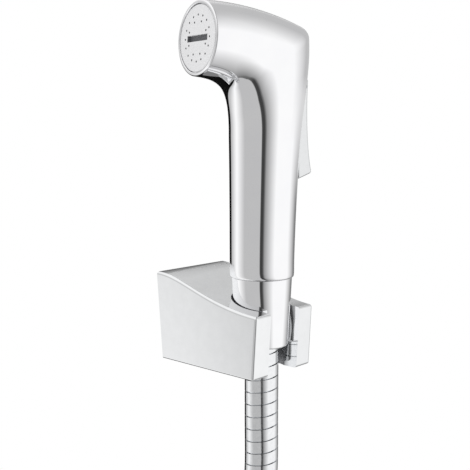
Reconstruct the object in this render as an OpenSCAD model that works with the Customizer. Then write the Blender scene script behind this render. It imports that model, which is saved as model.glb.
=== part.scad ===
// Handheld bidet shower: a trigger hand spray that rests in its wall bracket, with its metal hose.
// The origin is the middle of the bracket's back. The wall is the plane y = 0, -Y points into the room, +Z is up.

/* [Bracket] */
// Height of the bracket at the wall
bracket_h = 37.6; // [36:0.2:42]
// Height of the arms at their front
bracket_front_h = 25.2; // [23:0.2:27]
// Distance from the wall to the front of the arms
bracket_d = 52.5; // [52:0.5:56]
// Width at the top of the wall side
bracket_top_w = 40.8; // [38:0.2:44]
// Width at the bottom of the wall side
bracket_bottom_w = 35.8; // [34:0.2:38]
// How much narrower the front is than the wall side
bracket_taper = 0.4; // [0:0.2:2]
// How far the front foot hangs lower than the foot at the wall
bracket_sag = 0.6; // [0:0.1:0.8]
// How far the front face leans back at its foot
bracket_lean = 1.8; // [0:0.2:3]
// Thickness of the walls round the pocket at the back
bracket_wall = 2.6; // [2:0.1:3]
// Depth of the pocket at the back
pocket_d = 13; // [10:0.5:14]
// Width of the slot between the arms
slot_w = 18.4; // [16:0.2:19]
// Room between the nut and the socket at the nut's foot
socket_gap = 0.1; // [0.05:0.05:0.3]
// How much the socket opens for each millimetre of height
socket_flare = 0.085; // [0.06:0.005:0.1]

/* [Wall plate] */
// Thickness of the wall plate
plate_t = 3; // [2.5:0.5:4]
// Distance between the two wall screws
wall_screw_pitch = 18; // [14:1:19]
// Diameter of the wall screw holes
wall_screw_d = 4.4; // [4:0.2:5]
// Diameter of the grub screw that locks the bracket
lock_screw_d = 4; // [3:0.5:5]

/* [Conical nut] */
// Distance from the wall to the axis of the socket, nut and handle
axis_off = 40; // [39:0.5:42]
// Length of the conical nut
nut_len = 28.4; // [26:0.2:32]
// Diameter at the nut's top
nut_top_d = 24.7; // [24:0.1:25.4]
// Diameter at the nut's foot
nut_foot_d = 21.8; // [21:0.1:22.4]
// How far the nut's foot lies below the middle of the bracket
nut_drop = 9.3; // [7:0.1:11]
// Outer diameter of the inlet thread
inlet_d = 20.9; // [20:0.1:21.2]
// Length of the inlet thread
inlet_len = 11; // [9:0.5:12]

/* [Handle] */
// Turn of the head towards the wall, in degrees
handset_turn = 15; // [-20:1:20]
// Radius at the foot of the handle
foot_r = 12.5; // [12.4:0.1:12.8]
// Radius just above the rounded foot
grip_r = 13.2; // [12.8:0.1:13.8]
// Radius of the handle below the bend
shoulder_r = 14.5; // [14:0.1:15]
// Height of the bend's start above the foot
shoulder_z = 56; // [54:1:60]
// How far the handle's middle moves back on its way up
grip_lean = 1.1; // [0:0.1:1.6]
// How far the knee reaches behind the axis
knee_reach = 19.8; // [19:0.1:22]
// Bore of the handle
handle_bore_d = 21.2; // [20.4:0.2:21.6]

/* [Head] */
// Radius of the head at the spray face
head_r = 14.4; // [14:0.1:16]
// Distance from the axis to the middle of the spray face
head_reach = 30; // [28:0.2:34]
// Height of the spray face's middle above the handle's foot
head_z = 94.3; // [92:0.1:97]
// Upward tilt of the spray face, in degrees
face_tilt = 3.4; // [0:0.2:6]
// Width of the body's rim round the spray plate
rim_w = 1.4; // [1.2:0.1:1.6]
// How far the rim and the spray plate stand forward of the head's widest ring
rim_step = 0.7; // [0.3:0.1:1]
// Thickness of the spray plate
face_t = 2.2; // [1.8:0.1:3]
// Thickness of the flat seal behind the plate
seal_t = 0.9; // [0.6:0.1:1.2]
// Depth of the plate's threaded skirt
skirt_d = 5; // [3:0.5:6]

/* [Spray plate] */
// Number of jets in the outer ring
outer_jets = 16; // [8:1:24]
// Number of jets in the inner ring
inner_jets = 8; // [4:1:12]
// Radius of the outer ring of jets
outer_jet_ring_r = 8.8; // [8.4:0.1:9.6]
// Radius of the inner ring of jets
inner_jet_ring_r = 6.5; // [6:0.1:7.2]
// Diameter of a jet
jet_d = 0.8; // [0.5:0.1:1]
// Length of the coin slot
coin_slot_l = 14.5; // [12:0.5:16]
// Width of the coin slot
coin_slot_w = 2.4; // [1.8:0.1:2.8]
// Depth of the coin slot
coin_slot_d = 1.3; // [0.8:0.1:1.5]

/* [Lever] */
// Width of the lever
lever_w = 12; // [10:0.5:13]
// Height of the lever's tip above the handle's foot
lever_tip_z = 42; // [41:0.2:44]
// Height of the lever's top above the handle's foot
lever_top_z = 80.3; // [79.5:0.1:81]
// Distance from the axis to the back of the lever's tip
lever_tip_reach = 21.1; // [20.5:0.1:22.5]
// Distance from the axis to the back of the lever at its top
lever_top_reach = 18.9; // [18.5:0.1:19.5]
// Wall thickness of the lever
lever_wall = 1.8; // [1.5:0.1:2.2]
// Room between the lever and its window
lever_gap = 0.35; // [0.3:0.05:0.5]
// Diameter of the hinge pin
pin_d = 2.5; // [2:0.1:3]
// Distance from the axis to the hinge pin
pin_reach = 14.5; // [14:0.1:15]
// Height of the hinge pin above the handle's foot
pin_z = 77; // [76:0.1:77.5]

/* [Valve] */
// Height of the valve above the handle's foot
valve_z = 52.8; // [50:0.2:56]
// Diameter of the inner waterway
core_d = 20.6; // [20:0.1:20.8]
// Diameter of the valve stem
stem_d = 3; // [2.6:0.1:3.4]
// Diameter of the hole through the valve seat
seat_d = 5.4; // [5:0.1:6]
// Diameter of the valve chamber
chamber_d = 11.2; // [10.6:0.1:11.6]
// Thickness of the rubber valve washer
valve_washer_t = 1.6; // [1.2:0.1:2]
// Thickness of the valve head behind the washer
valve_head_t = 1.2; // [1:0.1:1.5]
// Diameter of the spring wire
spring_wire_d = 0.5; // [0.4:0.05:0.6]
// Turns of the valve spring
spring_turns = 3; // [2:0.5:3]

/* [Hose] */
// Outer diameter of the hose
hose_d = 14; // [13:0.5:14]
// Width across the flats of the supply nut
hex_w = 24; // [23:0.5:26]
// Length of the supply nut
hex_len = 15.5; // [14.5:0.5:18]
// Bore of the supply nut's thread
supply_bore_d = 18.64; // [18.2:0.02:19]
// Thickness of the flat hose washers
hose_washer_t = 1.8; // [1.5:0.1:2.2]
// Waterway through the hose ferrules
waterway_d = 8; // [6:0.5:9]
// Thickness of the coil's tie
tie_t = 1.2; // [0.8:0.1:2]
// Width of the coil's tie
tie_w = 10; // [6:1:14]

/* [Hidden] */
$fn = 64;

chrome = [0.82, 0.83, 0.85];
plate_white = [0.93, 0.93, 0.94];
moulding = [0.86, 0.86, 0.84];
brass = [0.78, 0.64, 0.36];
steel = [0.66, 0.67, 0.69];
rubber = [0.16, 0.16, 0.17];
tie_grey = [0.3, 0.3, 0.32];

// Clearances
fit_gap = 0.05;
slip_gap = 0.1;
seat_gap = 0.15;
overcut = 1;

// Heights that follow from the nut's place in the bracket
nut_foot_z = -nut_drop;
nut_top_z = nut_foot_z + nut_len;
base_z = nut_top_z + seat_gap;
bracket_foot_z = -bracket_h / 2;
front_top_z = bracket_foot_z + bracket_front_h;

// Radii of the nut and its bores
nut_slope = (nut_top_d - nut_foot_d) / 2 / nut_len;
hose_r = hose_d / 2;
neck_r = hose_r + 0.3;
nut_hole_r = neck_r + slip_gap;
inlet_r = inlet_d / 2;
inlet_foot_z = base_z - inlet_len;
ferrule_flange_t = 2.75;
ferrule_neck_len = 8.7;
nut_floor_z = inlet_foot_z - hose_washer_t - ferrule_flange_t;
hose_top_z = nut_floor_z - ferrule_neck_len;
nut_edge_r = 1;

// Lengths inside the head, measured back from the spray face
plate_r = head_r - rim_w - slip_gap;
plate_inset = 0.15;
seal_depth = plate_inset + face_t;
skirt_r = plate_r - 0.9;
skirt_wall = 1.4;
thread_depth = seal_depth + seal_t;
chamber_end = 34;
chamber_r = 8.5;

// Heights inside the handle, above its foot
core_top = pin_z + 2.4;
core_collar_r = handle_bore_d / 2 + 0.8;
core_collar_t = 2.4;
neck_bore_r = 6.2;
core_neck_r = neck_bore_r - slip_gap;
core_neck_top = core_top + 4.3;
ring_wire_r = 0.8;

// Valve places along its axis, forward of the handle's axis
core_r = core_d / 2;
seat_face = 0.5;
seat_back = -1.5;
gland_face = -6;
washer_front = seat_face + valve_washer_t;
head_front = washer_front + valve_head_t;
valve_head_r = chamber_d / 2 - 1.2;
plug_back = 7.6;
plug_t = 1.1;
stem_r = stem_d / 2;
stem_tip = head_front + 1.4;
gland_r = 3.6;
outlet_r = 2.1;
inlet_way_r = 3.2;
spring_r = 2.7;

// The lever's inner shape
pad_gap = 0.2;
stem_end = -(pin_reach - 0.3);
lever_edge_top = 12;
lever_edge_foot = 13.7;
window_depth = 8.5;

// Spacing of the jets and the slot's rounded ends
inner_jet_turn = 180 / inner_jets;

// The hose's route: down out of the nut, aside below the bracket and into a hanging coil, as [x, z]
hose_y = -axis_off;
lead_route = [
    [0, hose_top_z], [0, -20], [0, -40], [0, -62], [-2, -78], [-8, -92], [-17.5, -104.5], [-30, -114],
    [-36.5, -117.2], [-43, -120.5], [-55.5, -130], [-64.2, -142.5], [-70.4, -156],
    [-72.8, -167.3], [-73, -172.5]
];
coil_mean_r = 73;
coil_z = -172.5;
coil_turns = 2;
coil_pitch = 15.2;
tail_y = hose_y - coil_turns * coil_pitch;
tail_route = [[-73, -172.5], [-73, -190], [-73, -208], [-73, -224], [-73, -238]];
tail_end_z = -238;
tube_sides = 12;

// Heights at the supply nut
hex_top_z = tail_end_z - 3;
hex_floor_z = hex_top_z - 2.5;
end_flange_top_z = hex_floor_z - 0.3;
end_flange_t = 1.8;
end_washer_top_z = end_flange_top_z - end_flange_t;
hex_relief_z = end_washer_top_z - hose_washer_t;
hex_foot_z = hex_top_z - hex_len;
supply_r = supply_bore_d / 2;
relief_r = supply_r + 0.5;

// A cubic curve between two points with two handles
function bezier(a, b, c, d, t) =
    pow(1 - t, 3) * a + 3 * pow(1 - t, 2) * t * b + 3 * (1 - t) * t * t * c + pow(t, 3) * d;
function curve(a, b, c, d, steps) = [for (i = [0:steps]) bezier(a, b, c, d, i / steps)];

// The skin of a tube through rings of points, closed by a flat face at each end
function skin_faces(rings, sides) = concat(
    [[for (i = [sides - 1:-1:0]) i]],
    [for (k = [0:rings - 2], i = [0:sides - 1]) let (j = (i + 1) % sides)
        [k * sides + j, (k + 1) * sides + j, (k + 1) * sides + i]],
    [for (k = [0:rings - 2], i = [0:sides - 1]) let (j = (i + 1) % sides)
        [k * sides + j, (k + 1) * sides + i, k * sides + i]],
    [[for (i = [0:sides - 1]) (rings - 1) * sides + i]]
);
module skin(rings) {
    polyhedron(points = [for (r = rings, p = r) p], faces = skin_faces(len(rings), len(rings[0])));
}

module rod(z0, z1, r) {
    translate([0, 0, z0]) cylinder(h = z1 - z0, r = r);
}
module tube(z0, z1, outer, inner) {
    difference() {
        rod(z0, z1, outer);
        rod(z0 - overcut, z1 + overcut, inner);
    }
}
module o_ring(z, r, wire_r) {
    translate([0, 0, z]) rotate_extrude() translate([r, 0]) circle(r = wire_r);
}

// The socket's axis, and the hand spray's own frame: +X out of the spray face, z from the handle's foot
module on_axis() {
    translate([0, -axis_off, 0]) children();
}
module in_handset() {
    on_axis() translate([0, 0, base_z]) rotate([0, 0, 180 - handset_turn]) children();
}
// The valve's axis, with +Z pointing forward
module on_valve() {
    translate([0, 0, valve_z]) rotate([0, 90, 0]) children();
}
// The spray face's own frame: +Z out of the face, +X down it
module on_face() {
    translate([head_reach, 0, head_z]) rotate([0, 90 - face_tilt, 0]) translate([0, 0, rim_step]) children();
}

// Bracket
scoop = curve([0, bracket_h / 2], [-0.286 * bracket_d, bracket_h / 2 - 1.3],
    [-0.514 * bracket_d, front_top_z + 3], [-bracket_d, front_top_z], 14);
function bracket_half_w(y, z) = bracket_bottom_w / 2
    + (bracket_top_w - bracket_bottom_w) / 2 * (z - bracket_foot_z) / bracket_h
    + bracket_taper / 2 * y / bracket_d;
module bracket_sides() {
    back = overcut;
    front = -bracket_d - overcut;
    low = bracket_foot_z - overcut;
    high = bracket_h / 2 + overcut;
    function end(y) = [for (c = [[-1, low], [1, low], [1, high], [-1, high]])
        [c[0] * bracket_half_w(y, c[1]), y, c[1]]];
    polyhedron(points = concat(end(front), end(back)), faces = [
        [3, 2, 1, 0], [4, 5, 6, 7], [0, 1, 5, 4], [1, 2, 6, 5], [2, 3, 7, 6], [3, 0, 4, 7]
    ]);
}
pocket_w = bracket_bottom_w - 2 * bracket_wall - 1;
pocket_foot_z = bracket_foot_z + bracket_wall;
pocket_h = bracket_h - 2 * bracket_wall - 3.2;
pocket_mid_z = pocket_foot_z + pocket_h / 2;
tongue_w = 16;
tongue_h = 1.6;
tongue_t = 2;
tongue_root = 4;
lug_w = 10;
lug_h = 5;
lug_d = 6.5;
lock_y = -plate_t - lug_d / 2;
module pocket_shape(shrink) {
    translate([0, pocket_mid_z]) square([pocket_w - 2 * shrink, pocket_h - 2 * shrink], center = true);
}
module from_wall(depth) {
    rotate([90, 0, 0]) linear_extrude(height = depth) children();
}
module bracket_body() {
    color(chrome) difference() {
        intersection() {
            rotate([90, 0, 90]) linear_extrude(height = 2 * bracket_top_w, center = true)
                polygon(concat(scoop, [[-bracket_d + bracket_lean, bracket_foot_z - bracket_sag], [0, bracket_foot_z]]));
            bracket_sides();
        }
        // Conical socket, seated at the nut's foot
        on_axis() translate([0, 0, bracket_foot_z - overcut]) cylinder(
            h = bracket_h + 2 * overcut,
            r1 = nut_foot_d / 2 + socket_gap + socket_flare * (bracket_foot_z - overcut - nut_foot_z),
            r2 = nut_foot_d / 2 + socket_gap + socket_flare * (bracket_h / 2 + overcut - nut_foot_z));
        // Slot for the hose
        translate([-slot_w / 2, -bracket_d - overcut, bracket_foot_z - overcut])
            cube([slot_w, bracket_d + overcut - axis_off, bracket_h + 2 * overcut]);
        // Pocket for the wall plate, with the groove for its tongue
        translate([0, overcut, 0]) from_wall(pocket_d + overcut) pocket_shape(0);
        translate([-tongue_w / 2 - slip_gap, -plate_t - tongue_t - slip_gap, pocket_foot_z + pocket_h - overcut])
            cube([tongue_w + 2 * slip_gap, tongue_t + 2 * slip_gap, tongue_h + overcut + slip_gap]);
        translate([0, lock_y, bracket_foot_z - overcut]) cylinder(h = bracket_wall + 2 * overcut, d = lock_screw_d);
    }
}
module wall_plate() {
    color(moulding) difference() {
        union() {
            from_wall(plate_t) pocket_shape(slip_gap);
            translate([-tongue_w / 2, -plate_t - tongue_t, pocket_foot_z + pocket_h - tongue_root])
                cube([tongue_w, tongue_t, tongue_root + tongue_h]);
            translate([-lug_w / 2, -plate_t - lug_d, pocket_foot_z + slip_gap]) cube([lug_w, lug_d + overcut, lug_h]);
        }
        for (side = [-1, 1]) translate([side * wall_screw_pitch / 2, 0, pocket_mid_z]) rotate([90, 0, 0])
            translate([0, 0, -overcut]) {
                cylinder(h = plate_t + lug_d + 2 * overcut, d = wall_screw_d);
                translate([0, 0, overcut + plate_t - wall_screw_d / 2]) cylinder(
                    h = wall_screw_d / 2 + overcut, r1 = wall_screw_d / 2, r2 = wall_screw_d + overcut);
                translate([0, 0, overcut + plate_t]) cylinder(h = lug_d + overcut, r = wall_screw_d);
            }
    }
}
module lock_screw() {
    screw_z = bracket_foot_z + 0.3;
    key_d = lock_screw_d / 2;
    color(steel) translate([0, lock_y, 0]) difference() {
        rod(screw_z, pocket_foot_z + slip_gap, lock_screw_d / 2 - fit_gap);
        translate([0, 0, screw_z - overcut]) cylinder(h = overcut + 1.2, d = key_d, $fn = 6);
    }
}

// Hand spray body: rings between its front and its back line, each an ellipse
shell_sides = 40;
bend_steps = 24;
rim_edge = 0.5;
face_mid = [head_reach, head_z];
face_down = [sin(face_tilt), -cos(face_tilt)];
face_in = face_mid + head_r * face_down;
face_out = face_mid - head_r * face_down;
lip_mid = face_mid + rim_step * [cos(face_tilt), sin(face_tilt)];
lip_r = head_r - rim_edge;
front_foot = [shoulder_r - grip_lean, shoulder_z + 1];
back_foot = [-shoulder_r - grip_lean, shoulder_z];
knee_low = [-knee_reach, head_z + 2];
knee_high = [-knee_reach + 5.4, head_z + 7.5];
bend_start = [0, 18.3];
face_run = [13.2, 1.3];
knee_start = [-1.2, 14];
knee_run = [0.8, 13.2];
knee_turn = [0.4, 6];
knee_rise = [5.8, 2.4];
crown_start = [10.9, 4.5];
crown_run = [-14.5, 0.3];
function front_line(t) = bezier(front_foot, front_foot + bend_start, face_in - face_run, face_in, t);
function back_line(t) =
    t < 0.45 ? bezier(back_foot, back_foot + knee_start, knee_low - knee_run, knee_low, t / 0.45)
    : t < 0.62 ? bezier(knee_low, knee_low + knee_turn, knee_high - knee_rise, knee_high, (t - 0.45) / 0.17)
    : bezier(knee_high, knee_high + crown_start, face_out + crown_run, face_out, (t - 0.62) / 0.38);
function shell_ring(front, back, half_w) = let (mid = (front + back) / 2, arm = (back - front) / 2)
    [for (i = [0:shell_sides - 1]) let (a = 360 * i / shell_sides)
        [mid[0] + arm[0] * cos(a), half_w * sin(a), mid[1] + arm[1] * cos(a)]];
function grip_ring(z, r, lean) = shell_ring([r - lean, z], [-r - lean, z], r);
grip_mid_z = shoulder_z * 0.55;
grip_mid_r = (grip_r + shoulder_r) / 2 - 0.2;
shell_rings = concat(
    [
        grip_ring(0, foot_r, 0),
        grip_ring(0.2, (foot_r + grip_r) / 2, 0),
        grip_ring(0.9, grip_r - 0.05, 0),
        grip_ring(6, grip_r, 0),
        grip_ring(grip_mid_z, grip_mid_r, grip_lean * 0.4),
        grip_ring(shoulder_z * 0.78, (grip_mid_r + shoulder_r) / 2 + 0.1, grip_lean * 0.75)
    ],
    [for (k = [0:bend_steps]) let (t = k / bend_steps)
        shell_ring(front_line(t), back_line(t), shoulder_r + (head_r - shoulder_r) * t + 2.4 * t * (1 - t))],
    [shell_ring(lip_mid + lip_r * face_down, lip_mid - lip_r * face_down, lip_r)]
);
module handset_body() {
    color(chrome) in_handset() difference() {
        skin(shell_rings);
        // Handle bore with the seat of the waterway's collar, and the neck bore up to the head
        rod(-overcut, core_top + slip_gap, handle_bore_d / 2);
        rod(-overcut, core_collar_t + slip_gap, core_collar_r + slip_gap);
        rod(core_top, head_z, neck_bore_r);
        // Water chamber, thread and seat of the spray plate
        on_face() {
            rod(-chamber_end, -thread_depth, chamber_r);
            rod(-thread_depth - skirt_d - 1, overcut, skirt_r + slip_gap);
            rod(-thread_depth, overcut, plate_r + slip_gap);
        }
        // Window for the lever
        translate([-knee_reach - lever_tip_reach, -lever_w / 2 - lever_gap, lever_tip_z - 3.2])
            cube([knee_reach + lever_tip_reach - window_depth, lever_w + 2 * lever_gap,
                lever_top_z - lever_tip_z + 4.1]);
        // Blind hole for the hinge pin, open on the hidden side
        translate([-pin_reach, lever_w / 2 + 2.9, pin_z]) rotate([90, 0, 0])
            cylinder(h = 4 * lever_w, d = pin_d + 2 * fit_gap);
    }
}
module spray_plate() {
    color(plate_white) in_handset() on_face() difference() {
        union() {
            rod(-seal_depth, -plate_inset, plate_r);
            rod(-thread_depth - skirt_d, -seal_depth + fit_gap, skirt_r);
        }
        rod(-thread_depth - skirt_d - overcut, -seal_depth, skirt_r - skirt_wall);
        for (i = [0:outer_jets - 1]) rotate([0, 0, 360 * i / outer_jets]) translate([outer_jet_ring_r, 0, 0])
            rod(-seal_depth - overcut, overcut, jet_d / 2);
        for (i = [0:inner_jets - 1]) rotate([0, 0, 360 * i / inner_jets + inner_jet_turn])
            translate([inner_jet_ring_r, 0, 0]) rod(-seal_depth - overcut, overcut, jet_d / 2);
        translate([0, 0, -plate_inset - coin_slot_d / 2 + overcut / 2])
            cube([coin_slot_w, coin_slot_l, coin_slot_d + overcut], center = true);
    }
}
module face_seal() {
    color(rubber) in_handset() on_face() tube(-thread_depth, -seal_depth, plate_r - slip_gap, skirt_r + fit_gap);
}

// Inner waterway: thread, collar, valve chamber and the neck that seals into the head
module water_core() {
    seal_z = core_top + 2;
    color(moulding) in_handset() difference() {
        union() {
            rod(-inlet_len, core_collar_t, inlet_r - fit_gap);
            rod(0, core_collar_t, core_collar_r);
            rod(0, core_top, core_r);
            rod(core_top - overcut, core_neck_top, core_neck_r);
        }
        // Way in from the hose to the front of the valve
        rod(-inlet_len - overcut, core_collar_t, waterway_d / 2 + 1);
        translate([3.8, 0, 0]) rod(core_collar_t - overcut, valve_z, inlet_way_r);
        // Way out from the back of the valve to the head
        translate([(seat_back + gland_face) / 2, 0, 0]) rod(valve_z, core_neck_top + overcut, outlet_r);
        on_valve() {
            rod(seat_face, core_r + overcut, chamber_d / 2);
            rod(seat_back - overcut, seat_face + overcut, seat_d / 2);
            rod(-core_r - overcut, seat_back, gland_r + fit_gap);
        }
        difference() {
            rod(seal_z - ring_wire_r - fit_gap, seal_z + ring_wire_r + fit_gap, core_neck_r + overcut);
            rod(seal_z - overcut - ring_wire_r, seal_z + overcut + ring_wire_r, core_neck_r - 2 * ring_wire_r);
        }
    }
}
module core_seal() {
    color(rubber) in_handset() o_ring(core_top + 2, core_neck_r + slip_gap - ring_wire_r - fit_gap / 2, ring_wire_r);
}

// Lever: a channel with a pin boss at its top and a pad on the stem, hinged at its top
lever_bow = [0.7, 12];
tip_bow = [2.6, 10];
lever_back = curve([-lever_top_reach, lever_top_z], [-lever_top_reach + lever_bow[0], lever_top_z - lever_bow[1]],
    [-lever_tip_reach + tip_bow[0], lever_tip_z + tip_bow[1]], [-lever_tip_reach, lever_tip_z], 12);
lever_foot = [-lever_edge_foot, lever_tip_z - 2.6];
module side_view(width) {
    rotate([90, 0, 0]) linear_extrude(height = width, center = true) children();
}
module trigger() {
    boss_z = pin_z - pin_d / 2 - 2;
    color(chrome) in_handset() difference() {
        union() {
            difference() {
                side_view(lever_w) polygon(concat(lever_back, [lever_foot, [-lever_edge_top, lever_top_z]]));
                side_view(lever_w - 2 * lever_wall) polygon(concat(
                    [for (p = lever_back) if (p[1] < boss_z && p[1] > lever_tip_z + lever_wall) p + [lever_wall + 0.3, 0]],
                    [[-lever_tip_reach + lever_wall + 1, lever_tip_z + lever_wall],
                        [0, lever_tip_z + lever_wall], [0, boss_z],
                        [bezier(-lever_top_reach, -lever_top_reach + lever_bow[0], -lever_tip_reach + tip_bow[0],
                            -lever_tip_reach, 0.16) + lever_wall + 0.3, boss_z]]));
            }
            // Pad that meets the stem
            translate([-lever_top_reach + 0.8, 0, valve_z]) rotate([0, 90, 0])
                cylinder(h = lever_top_reach - 0.8 + stem_end - pad_gap, r = 2.4);
        }
        translate([-pin_reach, 0, pin_z]) rotate([90, 0, 0]) cylinder(
            h = lever_w + 2 * overcut, d = pin_d + 2 * fit_gap, center = true);
    }
}
module trigger_pin() {
    color(steel) in_handset() translate([-pin_reach, lever_w / 2 + 2.8, pin_z]) rotate([90, 0, 0])
        cylinder(h = lever_w + 6.2, d = pin_d);
}

// Valve
module valve_stem() {
    color(brass) in_handset() on_valve() {
        rod(stem_end, stem_tip, stem_r);
        rod(washer_front, head_front, valve_head_r);
    }
}
module valve_washer() {
    color(rubber) in_handset() on_valve() tube(seat_face, washer_front, valve_head_r, stem_r);
}
module valve_spring() {
    wire_sides = 8;
    steps = 12 * spring_turns;
    wire_r = spring_wire_d / 2;
    first = head_front + wire_r;
    last = plug_back - wire_r;
    color(steel) in_handset() on_valve() skin([for (k = [0:steps]) let (a = 360 * spring_turns * k / steps)
        [for (i = [0:wire_sides - 1]) let (b = 360 * i / wire_sides, r = spring_r + wire_r * cos(b))
            [r * cos(a), r * sin(a), first + (last - first) * k / steps + wire_r * sin(b)]]]);
}
module valve_gland() {
    color(brass) in_handset() on_valve() difference() {
        rod(-core_r + 0.4, gland_face, gland_r);
        rod(-core_r, gland_face + overcut, stem_r + fit_gap);
        rod(gland_face - 1.7, gland_face + overcut, stem_r + 1.1);
    }
}
module stem_seal() {
    color(rubber) in_handset() on_valve() o_ring(gland_face - 1.1, stem_r + 0.57, 0.5);
}
module valve_plug() {
    color(brass) in_handset() on_valve() difference() {
        rod(plug_back, plug_back + plug_t, chamber_d / 2 - fit_gap);
        rod(plug_back + plug_t / 2, core_r + overcut, 1.5);
    }
}

// Hose and its fittings
module cone_nut() {
    top_r = nut_top_d / 2;
    foot_r = nut_foot_d / 2;
    color(chrome) on_axis() difference() {
        rotate_extrude() polygon(concat(
            [[0, nut_foot_z]],
            [for (i = [0:4]) let (a = 22.5 * i) [foot_r - nut_edge_r + nut_edge_r * sin(a),
                nut_foot_z + nut_edge_r - nut_edge_r * cos(a)]],
            [[top_r - 0.2 * nut_slope, nut_top_z - 0.2], [top_r - 0.2, nut_top_z], [0, nut_top_z]]
        ));
        rod(nut_foot_z - overcut, nut_top_z, nut_hole_r);
        rod(nut_floor_z, nut_top_z + overcut, inlet_r);
    }
}
module cone_washer() {
    color(rubber) on_axis() tube(inlet_foot_z - hose_washer_t, inlet_foot_z, inlet_r - slip_gap, waterway_d / 2 + 1);
}
module cone_ferrule() {
    color(brass) on_axis() difference() {
        union() {
            rod(hose_top_z, nut_floor_z + ferrule_flange_t, neck_r);
            rod(nut_floor_z, nut_floor_z + ferrule_flange_t, inlet_r - slip_gap);
        }
        rod(hose_top_z - overcut, inlet_foot_z, waterway_d / 2);
    }
}
function route_dir(path, k) = let (a = path[max(k - 1, 0)], b = path[min(k + 1, len(path) - 1)]) (b - a) / norm(b - a);
module hose_run(path, y) {
    skin([for (k = [0:len(path) - 1]) let (d = route_dir(path, k))
        [for (i = [0:tube_sides - 1]) let (a = 360 * i / tube_sides)
            [path[k][0] - d[1] * hose_r * cos(a), y + hose_r * sin(a), path[k][1] + d[0] * hose_r * cos(a)]]]);
}
module hose() {
    color(chrome) hose_run(lead_route, hose_y);
}
module hose_tail() {
    color(chrome) hose_run(tail_route, tail_y);
}
module strands() {
    half = coil_turns * coil_pitch / 2;
    square([hose_d, 2 * half], center = true);
    for (side = [-1, 1]) translate([0, side * half]) circle(r = hose_r);
}
module hose_coil() {
    color(chrome) translate([0, hose_y - coil_turns * coil_pitch / 2, coil_z]) rotate([90, 0, 0])
        rotate_extrude($fn = 96) translate([coil_mean_r, 0]) strands();
}
module tie_shape(grow) {
    half = coil_turns * coil_pitch / 2;
    square([hose_d + 2 * grow, 2 * half], center = true);
    for (side = [-1, 1]) translate([0, side * half]) circle(r = hose_r + grow);
}
module coil_tie() {
    color(tie_grey) translate([-coil_mean_r, hose_y - coil_turns * coil_pitch / 2, coil_z - tie_w / 2])
        linear_extrude(height = tie_w) difference() {
            tie_shape(tie_t + 0.3);
            tie_shape(0.3);
        }
}
module at_supply() {
    translate([-coil_mean_r, tail_y, 0]) children();
}
module end_nut() {
    corner_r = hex_w / 2 / cos(30);
    bevel = 0.8;
    color(chrome) at_supply() difference() {
        intersection() {
            translate([0, 0, hex_foot_z]) cylinder(h = hex_len, r = corner_r, $fn = 6);
            rotate_extrude() polygon([[0, hex_foot_z], [corner_r - bevel - 0.4, hex_foot_z],
                [corner_r - 0.4, hex_foot_z + bevel], [corner_r - 0.4, hex_top_z - bevel],
                [corner_r - bevel - 0.4, hex_top_z], [0, hex_top_z]]);
        }
        rod(hex_foot_z - overcut, hex_top_z + overcut, nut_hole_r);
        rod(hex_foot_z - overcut, hex_relief_z + overcut, supply_r);
        rod(hex_relief_z, hex_floor_z, relief_r);
    }
}
module end_ferrule() {
    color(brass) at_supply() difference() {
        union() {
            rod(end_washer_top_z, tail_end_z, neck_r);
            rod(end_washer_top_z, end_flange_top_z, supply_r - 0.3);
        }
        rod(end_washer_top_z - overcut, tail_end_z + overcut, waterway_d / 2);
    }
}
module end_washer() {
    color(rubber) at_supply() tube(hex_relief_z, end_washer_top_z, supply_r - 0.3, waterway_d / 2 + 1);
}

bracket_body();
wall_plate();
lock_screw();
handset_body();
spray_plate();
face_seal();
water_core();
core_seal();
trigger();
trigger_pin();
valve_stem();
valve_washer();
valve_spring();
valve_gland();
stem_seal();
valve_plug();
cone_nut();
cone_washer();
cone_ferrule();
hose();
hose_coil();
hose_tail();
coil_tie();
end_nut();
end_ferrule();
end_washer();
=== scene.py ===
"""Looks of a chrome hand bidet shower resting in its wall bracket, with its ribbed metal hose.
Lengths are in millimetres in the values below and in metres in the scene. The wall is the plane y = 0."""
import math

import bmesh
import bpy
import numpy as np
from mathutils import Matrix, Vector


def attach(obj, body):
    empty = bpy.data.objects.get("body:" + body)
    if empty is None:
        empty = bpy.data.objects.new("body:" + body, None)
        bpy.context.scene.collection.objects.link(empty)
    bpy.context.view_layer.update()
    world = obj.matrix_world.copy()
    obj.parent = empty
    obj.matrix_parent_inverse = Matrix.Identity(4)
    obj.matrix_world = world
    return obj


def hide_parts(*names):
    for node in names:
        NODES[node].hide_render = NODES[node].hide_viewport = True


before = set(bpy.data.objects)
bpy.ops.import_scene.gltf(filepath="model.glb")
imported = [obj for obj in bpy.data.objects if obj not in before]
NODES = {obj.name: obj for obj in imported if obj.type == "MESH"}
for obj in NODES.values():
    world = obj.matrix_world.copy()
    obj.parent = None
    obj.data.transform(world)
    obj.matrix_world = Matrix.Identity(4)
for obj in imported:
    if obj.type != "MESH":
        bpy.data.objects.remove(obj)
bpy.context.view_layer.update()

MM = 0.001

# The camera: level with the handle, a little above it, on the side of the spray face
CAMERA_AZIMUTH = -48.56
CAMERA_PITCH = 7.01
CAMERA_DISTANCE = 371.06
CAMERA_ASIDE = -11.03
CAMERA_HEIGHT = 36.21
CAMERA_LENS = 69.62

# The hose: a ribbed metal tube, 1.18 m long
HOSE_D = 14.0
HOSE_PITCH = 5.2
HOSE_GROOVE = 1.0
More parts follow.
